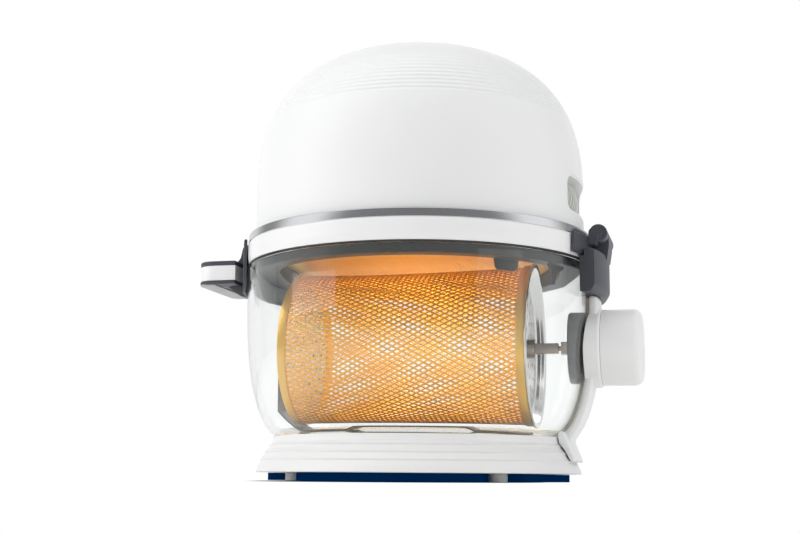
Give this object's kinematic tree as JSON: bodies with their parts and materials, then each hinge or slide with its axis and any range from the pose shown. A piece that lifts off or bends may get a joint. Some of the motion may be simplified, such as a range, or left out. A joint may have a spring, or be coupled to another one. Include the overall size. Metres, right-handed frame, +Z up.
{
  "type": "glass air fryer",
  "caption": "Countertop glass-bowl air fryer: hinged head with fan and heater over a clear bowl, with a side-driven rotating mesh drum.",
  "frame": {"origin": "on the floor plane under the bowl's axis", "axes": "+Z up, +X towards the hinge and drive, -X towards the grip, -Y the front"},
  "size_m": [0.332, 0.26, 0.32],
  "materials": {
    "white_plastic": "satin moulded white",
    "grey_plastic": "moulded light grey",
    "dark_plastic": "moulded dark slate",
    "vent_plastic": "moulded grey-green",
    "glass": "clear polished",
    "touch_glass": "polished black",
    "trim_metal": "brushed",
    "steel": "brushed stainless",
    "dark_metal": "dark non-stick coat",
    "gold_steel": "warm gold",
    "heater_metal": "oxidised",
    "bronze": "sintered",
    "silicone": "soft matte",
    "rubber": "soft pale grey",
    "board": "laminate"
  },
  "bodies": {
    "base": {"base_shell": "white_plastic", "base_plate": "grey_plastic", "feet": "rubber", "base_screws": "steel", "bowl_seat": "silicone", "cord_gland": "dark_plastic", "bowl": "glass", "drive_arm": "white_plastic", "drive_cover": "dark_plastic", "drive_bush": "bronze", "drive_seal": "silicone", "drive_housing": "white_plastic", "drive_motor": "steel", "hinge_bracket": "dark_plastic", "hinge_pin": "steel", "drum_stand": "steel"},
    "head": {"dome_shell": "white_plastic", "top_cap": "white_plastic", "touch_panel": "touch_glass", "control_board": "board", "head_collar": "white_plastic", "lid_gasket": "silicone", "trim_ring": "trim_metal", "chassis_ring": "steel", "head_screws": "steel", "guard_ring": "dark_metal", "air_guard": "gold_steel", "heater_tube": "heater_metal", "heat_shield": "steel", "motor_plate": "steel", "air_motor": "steel", "motor_screws": "steel", "vent_grille": "vent_plastic", "handle_plate": "dark_plastic", "handle_upper": "dark_plastic", "handle_lower": "dark_plastic", "handle_insert": "white_plastic", "handle_screws": "steel", "hinge_leaf": "dark_plastic"},
    "fan": {"air_shaft": "steel", "hot_fan": "steel", "cooling_fan": "grey_plastic"},
    "drum": {"drum_mesh": "gold_steel", "drum_band_left": "gold_steel", "drum_band_right": "steel", "drum_end_left": "steel", "drum_end_right": "steel", "drum_axle": "steel"},
    "drive": {"drive_shaft": "steel"}
  },
  "joints": [
    {"name": "head_hinge", "type": "hinge", "parent": "base", "child": "head", "pos_m": [0.1375, 0, 0.177], "axis": [0, 1, 0], "range_deg": [0, 95]},
    {"name": "fan_spin", "type": "hinge", "parent": "head", "child": "fan", "pos_m": [0, 0, 0.18], "axis": [0, 0, 1], "continuous": true},
    {"name": "drum_spin", "type": "hinge", "parent": "base", "child": "drum", "pos_m": [0, 0, 0.097], "axis": [1, 0, 0], "continuous": true},
    {"name": "drive_spin", "type": "hinge", "parent": "base", "child": "drive", "pos_m": [0.13, 0, 0.097], "axis": [1, 0, 0], "continuous": true}
  ],
  "couplings": [
    {"joint": "drive_spin", "follows": "drum_spin", "ratio": 1}
  ]
}
